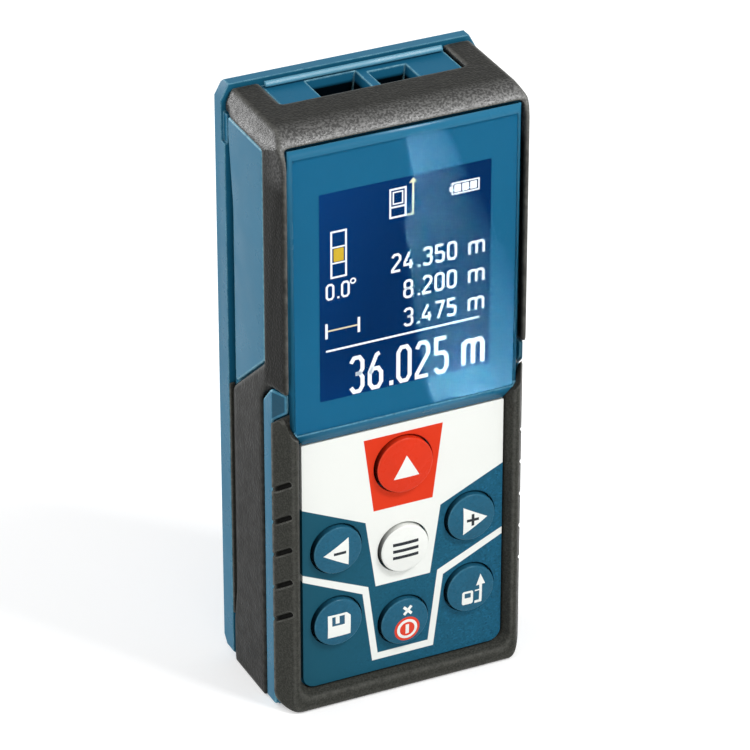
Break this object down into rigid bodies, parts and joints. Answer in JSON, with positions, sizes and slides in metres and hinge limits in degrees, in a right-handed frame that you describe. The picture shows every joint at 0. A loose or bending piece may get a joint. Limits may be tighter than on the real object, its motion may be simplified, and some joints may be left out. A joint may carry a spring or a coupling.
{
  "type": "laser distance meter",
  "caption": "Hand-held laser distance meter: upright blue case in black rubber grips, tall display window over a keypad, light pockets at the top end and a battery lid behind.",
  "frame": {"origin": "middle of the foot, on the surface it stands on", "axes": "+Z from the foot to the beam end, -Y towards the user, +X to the user's right"},
  "size_m": [0.045, 0.024, 0.106],
  "materials": {
    "blue_plastic": "satin moulded, petrol blue",
    "black_rubber": "matte with a coarse grain",
    "window_glass": "clear gloss, tinted border",
    "printed_panel": "satin print",
    "red_key": "gloss red",
    "white_key": "gloss white",
    "blue_key": "semi-gloss blue",
    "screen": "gloss, dark blue",
    "light_guide": "milky",
    "black_plastic": "matte black",
    "foam": "fine foam",
    "board": "green solder mask",
    "polyimide": "amber film",
    "tin": "tinned sheet",
    "steel": "zinc plated",
    "brass": "turned",
    "lens_glass": "coated optical glass",
    "cell_sleeve": "printed sleeve, plain"
  },
  "bodies": {
    "housing": {"front_case": "blue_plastic", "rear_case": "blue_plastic", "optics_bezel": "blue_plastic", "upper_bumper": "black_rubber", "lower_bumper": "black_rubber", "display_window": "window_glass", "keypad_panel": "printed_panel", "measure_dome": "tin", "function_dome": "tin", "minus_dome": "tin", "plus_dome": "tin", "memory_dome": "tin", "power_dome": "tin", "reference_dome": "tin", "display_gasket": "foam", "display_panel": "screen", "display_backlight": "light_guide", "display_frame": "black_plastic", "display_ribbon": "polyimide", "display_connector": "black_plastic", "main_board": "board", "processor": "black_plastic", "shield_can": "tin", "buzzer": "black_plastic", "tilt_sensor": "black_plastic", "sensor_board": "board", "optics_carrier": "black_plastic", "receiver_lens": "lens_glass", "collimator_lens": "lens_glass", "receiver_window": "lens_glass", "beam_window": "lens_glass", "photodiode": "tin", "laser_diode": "tin", "laser_barrel": "brass", "tripod_insert": "brass", "battery_left": "cell_sleeve", "battery_right": "cell_sleeve", "battery_spring_left": "steel", "battery_spring_right": "steel", "contact_bridge": "tin", "contact_positive": "tin", "contact_negative": "tin", "case_screw_lower_left": "steel", "case_screw_lower_right": "steel", "case_screw_upper_left": "steel", "case_screw_upper_right": "steel", "board_screw_left": "steel", "board_screw_right": "steel", "carrier_screw_left": "steel", "carrier_screw_right": "steel"},
    "measure_key": {"measure_button": "red_key"},
    "function_key": {"function_button": "white_key"},
    "minus_key": {"minus_button": "blue_key"},
    "plus_key": {"plus_button": "blue_key"},
    "memory_key": {"memory_button": "blue_key"},
    "power_key": {"power_button": "blue_key"},
    "reference_key": {"reference_button": "blue_key"},
    "lid": {"battery_lid": "blue_plastic"},
    "latch": {"lid_latch": "black_plastic"}
  },
  "joints": [
    {"name": "measure_press", "type": "slide", "parent": "housing", "child": "measure_key", "axis": [0, 1, 0], "range_m": [0, 0.0005], "stiffness_N_per_m": 400},
    {"name": "function_press", "type": "slide", "parent": "housing", "child": "function_key", "axis": [0, 1, 0], "range_m": [0, 0.0005], "stiffness_N_per_m": 400},
    {"name": "minus_press", "type": "slide", "parent": "housing", "child": "minus_key", "axis": [0, 1, 0], "range_m": [0, 0.0005], "stiffness_N_per_m": 400},
    {"name": "plus_press", "type": "slide", "parent": "housing", "child": "plus_key", "axis": [0, 1, 0], "range_m": [0, 0.0005], "stiffness_N_per_m": 400},
    {"name": "memory_press", "type": "slide", "parent": "housing", "child": "memory_key", "axis": [0, 1, 0], "range_m": [0, 0.0005], "stiffness_N_per_m": 400},
    {"name": "power_press", "type": "slide", "parent": "housing", "child": "power_key", "axis": [0, 1, 0], "range_m": [0, 0.0005], "stiffness_N_per_m": 400},
    {"name": "reference_press", "type": "slide", "parent": "housing", "child": "reference_key", "axis": [0, 1, 0], "range_m": [0, 0.0005], "stiffness_N_per_m": 400},
    {"name": "lid_swing", "type": "hinge", "parent": "housing", "child": "lid", "pos_m": [0, 0.012, 0.004], "axis": [-1, 0, 0], "range_deg": [0, 70]},
    {"name": "latch_slide", "type": "slide", "parent": "lid", "child": "latch", "axis": [0, 0, -1], "range_m": [0, 0.0008], "stiffness_N_per_m": 300}
  ]
}
